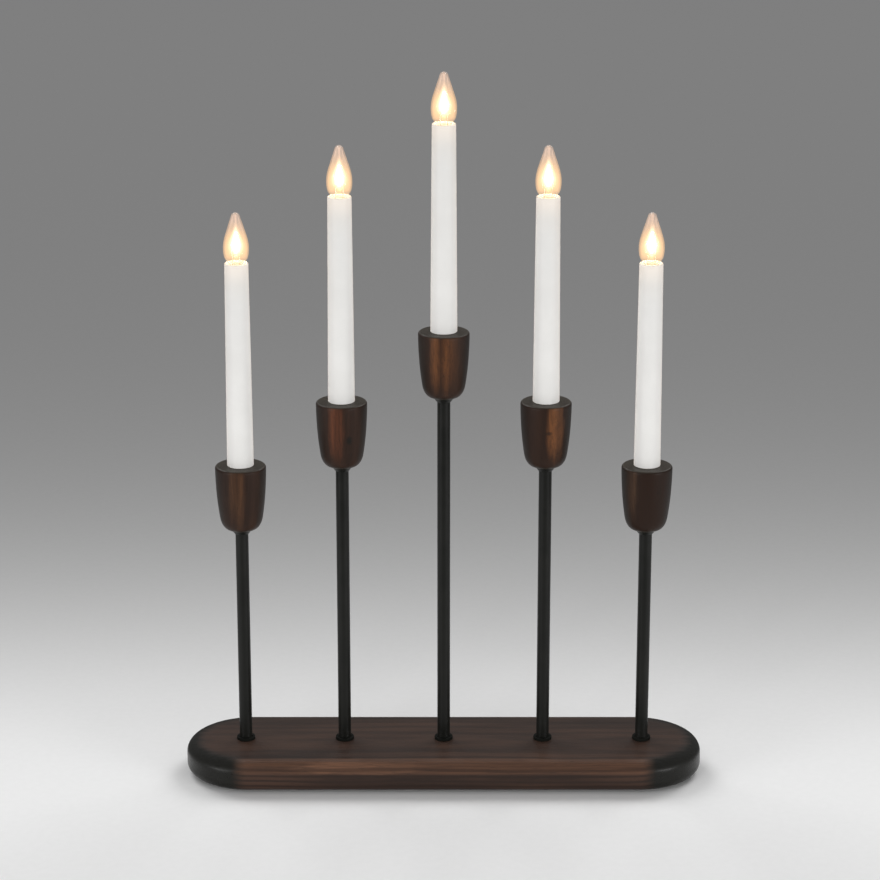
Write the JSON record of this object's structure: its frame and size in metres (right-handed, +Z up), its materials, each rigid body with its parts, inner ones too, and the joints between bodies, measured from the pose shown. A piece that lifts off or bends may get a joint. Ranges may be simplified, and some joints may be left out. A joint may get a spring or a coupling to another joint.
{
  "type": "electric candle arch",
  "caption": "Electric candle arch: an oblong wooden base with upright metal stems of stepped heights, each with a turned wooden cup, a candle sleeve and a screw-in flame bulb.",
  "frame": {"origin": "on the table, under the middle of the base board", "axes": "+X along the base to the viewer's right, +Y to the back, +Z up along the stems; the front faces -Y"},
  "size_m": [0.3, 0.075, 0.4129],
  "materials": {
    "stained_wood": "dark walnut stain, satin lacquer, visible grain",
    "hardboard": "raw brown hardboard",
    "felt": "dense black felt",
    "black_rubber": "matt",
    "white_nylon": "moulded, matt",
    "zinc_steel": "zinc plated",
    "black_metal": "black powder coat, satin",
    "brass": "drawn, plain",
    "wire_insulation": "white insulation",
    "sleeve_plastic": "smooth white, semi-gloss",
    "spring_steel": "bright wire",
    "clear_glass": "clear, thin, drawn tip",
    "filament": "glowing"
  },
  "bodies": {
    "stand": {"base_board": "stained_wood", "bottom_cover": "hardboard", "cover_screws": "zinc_steel", "foot_pads": "felt", "cord_grommet": "black_rubber", "terminal_block": "white_nylon", "terminal_screws": "zinc_steel", "foot_collars": "black_metal", "stem_nuts": "zinc_steel", "cup_ferrules": "black_metal", "cup_nuts": "zinc_steel", "socket_shells": "brass", "wire_tags": "brass", "wiring": "wire_insulation", "stem_tube_1": "black_metal", "cup_1": "stained_wood", "candle_sleeve_1": "sleeve_plastic", "lampholder_1": "white_nylon", "contact_spring_1": "spring_steel", "stem_tube_2": "black_metal", "cup_2": "stained_wood", "candle_sleeve_2": "sleeve_plastic", "lampholder_2": "white_nylon", "contact_spring_2": "spring_steel", "stem_tube_3": "black_metal", "cup_3": "stained_wood", "candle_sleeve_3": "sleeve_plastic", "lampholder_3": "white_nylon", "contact_spring_3": "spring_steel", "stem_tube_4": "black_metal", "cup_4": "stained_wood", "candle_sleeve_4": "sleeve_plastic", "lampholder_4": "white_nylon", "contact_spring_4": "spring_steel", "stem_tube_5": "black_metal", "cup_5": "stained_wood", "candle_sleeve_5": "sleeve_plastic", "lampholder_5": "white_nylon", "contact_spring_5": "spring_steel"},
    "contact_1": {"contact_pin_1": "brass"},
    "bulb_1": {"bulb_cap_1": "brass", "bulb_glass_1": "clear_glass", "bulb_filament_1": "filament"},
    "contact_2": {"contact_pin_2": "brass"},
    "bulb_2": {"bulb_cap_2": "brass", "bulb_glass_2": "clear_glass", "bulb_filament_2": "filament"},
    "contact_3": {"contact_pin_3": "brass"},
    "bulb_3": {"bulb_cap_3": "brass", "bulb_glass_3": "clear_glass", "bulb_filament_3": "filament"},
    "contact_4": {"contact_pin_4": "brass"},
    "bulb_4": {"bulb_cap_4": "brass", "bulb_glass_4": "clear_glass", "bulb_filament_4": "filament"},
    "contact_5": {"contact_pin_5": "brass"},
    "bulb_5": {"bulb_cap_5": "brass", "bulb_glass_5": "clear_glass", "bulb_filament_5": "filament"}
  },
  "joints": [
    {"name": "contact_slide_1", "type": "slide", "parent": "stand", "child": "contact_1", "axis": [0, 0, 1], "range_m": [0, 0.00182], "deforming": ["contact_spring_1"]},
    {"name": "bulb_turn_1", "type": "hinge", "parent": "contact_1", "child": "bulb_1", "pos_m": [-0.1155, 0, 0.3056], "axis": [0, 0, 1], "range_deg": [0, 360]},
    {"name": "contact_slide_2", "type": "slide", "parent": "stand", "child": "contact_2", "axis": [0, 0, 1], "range_m": [0, 0.00182], "deforming": ["contact_spring_2"]},
    {"name": "bulb_turn_2", "type": "hinge", "parent": "contact_2", "child": "bulb_2", "pos_m": [-0.05775, 0, 0.3435], "axis": [0, 0, 1], "range_deg": [0, 360]},
    {"name": "contact_slide_3", "type": "slide", "parent": "stand", "child": "contact_3", "axis": [0, 0, 1], "range_m": [0, 0.00182], "deforming": ["contact_spring_3"]},
    {"name": "bulb_turn_3", "type": "hinge", "parent": "contact_3", "child": "bulb_3", "pos_m": [0, 0, 0.3843], "axis": [0, 0, 1], "range_deg": [0, 360]},
    {"name": "contact_slide_4", "type": "slide", "parent": "stand", "child": "contact_4", "axis": [0, 0, 1], "range_m": [0, 0.00182], "deforming": ["contact_spring_4"]},
    {"name": "bulb_turn_4", "type": "hinge", "parent": "contact_4", "child": "bulb_4", "pos_m": [0.05775, 0, 0.3435], "axis": [0, 0, 1], "range_deg": [0, 360]},
    {"name": "contact_slide_5", "type": "slide", "parent": "stand", "child": "contact_5", "axis": [0, 0, 1], "range_m": [0, 0.00182], "deforming": ["contact_spring_5"]},
    {"name": "bulb_turn_5", "type": "hinge", "parent": "contact_5", "child": "bulb_5", "pos_m": [0.1155, 0, 0.3056], "axis": [0, 0, 1], "range_deg": [0, 360]}
  ],
  "couplings": [
    {"joint": "contact_slide_1", "follows": "bulb_turn_1", "m_per_rad": 0.00028871},
    {"joint": "contact_slide_2", "follows": "bulb_turn_2", "m_per_rad": 0.00028871},
    {"joint": "contact_slide_3", "follows": "bulb_turn_3", "m_per_rad": 0.00028871},
    {"joint": "contact_slide_4", "follows": "bulb_turn_4", "m_per_rad": 0.00028871},
    {"joint": "contact_slide_5", "follows": "bulb_turn_5", "m_per_rad": 0.00028871}
  ]
}
